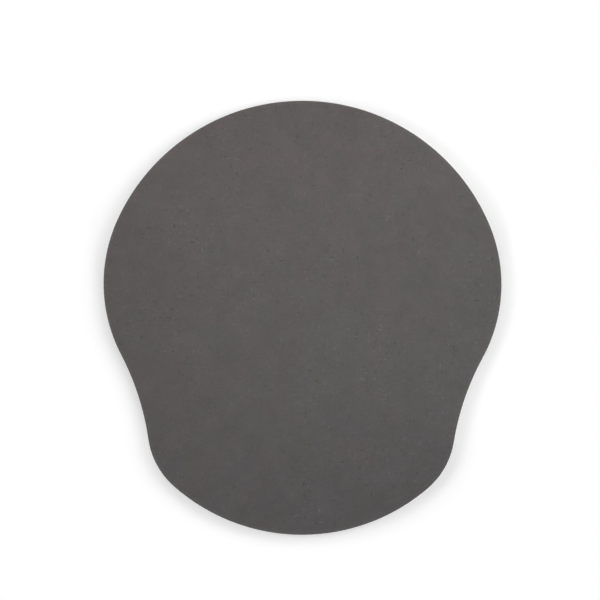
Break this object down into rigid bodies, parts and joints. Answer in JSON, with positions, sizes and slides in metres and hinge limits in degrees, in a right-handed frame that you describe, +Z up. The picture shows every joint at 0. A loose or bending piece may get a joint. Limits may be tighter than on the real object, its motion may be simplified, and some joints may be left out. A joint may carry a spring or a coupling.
{
  "type": "mouse pad",
  "caption": "Flat grey cloth mouse pad, a round field that narrows into a wrist lobe, glued to a soft foam core with an anti-slip sheet underneath.",
  "frame": {"origin": "middle of the underside, on the surface that the pad lies on", "axes": "+Z up out of the cloth face, +Y towards the round end, -Y towards the wrist lobe, +X to the right of someone who uses it"},
  "size_m": [0.22, 0.24, 0.005],
  "materials": {
    "grip_rubber": "matte",
    "cured_glue": "satin",
    "foam_rubber": "matte",
    "brushed_cloth": "matte"
  },
  "bodies": {
    "root": {"grip_sheet": "grip_rubber", "lower_glue_film": "cured_glue", "foam_core": "foam_rubber", "upper_glue_film": "cured_glue", "cloth_facing": "brushed_cloth"}
  },
  "joints": []
}
